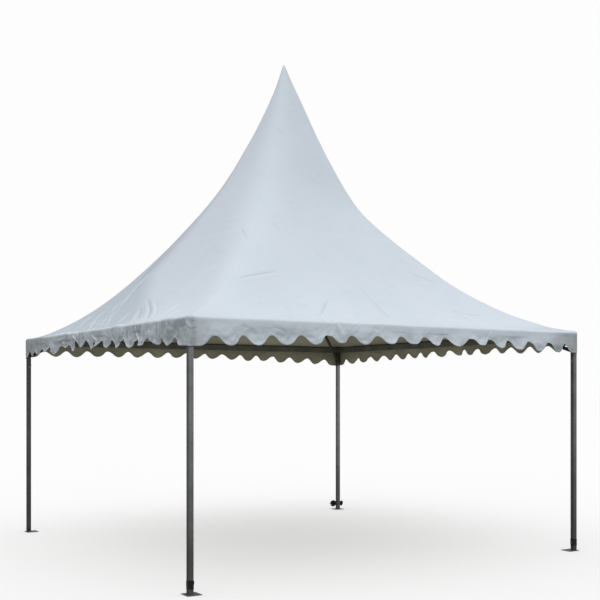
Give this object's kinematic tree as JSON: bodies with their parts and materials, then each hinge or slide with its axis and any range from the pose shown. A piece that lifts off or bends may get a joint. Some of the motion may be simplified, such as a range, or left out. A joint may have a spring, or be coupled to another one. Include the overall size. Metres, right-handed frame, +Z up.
{
  "type": "pagoda marquee tent",
  "caption": "Square marquee tent with a tall pointed fabric canopy, scalloped valance, tubular steel legs on base plates, eave beams, hip bars and a king post.",
  "frame": {"origin": "centre of the square footprint, on the ground under the base plates", "axes": "+X to the right along the front side, +Y from front to back, +Z up the king post"},
  "size_m": [5.041, 5.041, 5.94],
  "materials": {
    "frame_steel": "weathered grey galvanised steel, satin",
    "roof_steel": "dark galvanised steel, satin",
    "canopy_fabric": "pale blue-grey coated polyester, matt with a faint sheen",
    "webbing": "black woven webbing, matt"
  },
  "bodies": {
    "root": {"base_plate_back_left": "frame_steel", "base_plate_back_right": "frame_steel", "base_plate_front_left": "frame_steel", "base_plate_front_right": "frame_steel", "centre_hub": "roof_steel", "corner_connector_back_left": "frame_steel", "corner_connector_back_right": "frame_steel", "corner_connector_front_left": "frame_steel", "corner_connector_front_right": "frame_steel", "eave_beam_back": "roof_steel", "eave_beam_front": "roof_steel", "eave_beam_left": "roof_steel", "eave_beam_right": "roof_steel", "foot_strap_back_right": "webbing", "foot_strap_front_left": "webbing", "foot_strap_front_right": "webbing", "hip_bar_back_left": "roof_steel", "hip_bar_back_right": "roof_steel", "hip_bar_front_left": "roof_steel", "hip_bar_front_right": "roof_steel", "king_post": "roof_steel", "leg_back_left": "frame_steel", "leg_back_right": "frame_steel", "leg_front_left": "frame_steel", "leg_front_right": "frame_steel", "mast_head": "roof_steel", "roof_canopy": "canopy_fabric", "valance_back": "canopy_fabric", "valance_front": "canopy_fabric", "valance_left": "canopy_fabric", "valance_right": "canopy_fabric"}
  },
  "joints": []
}
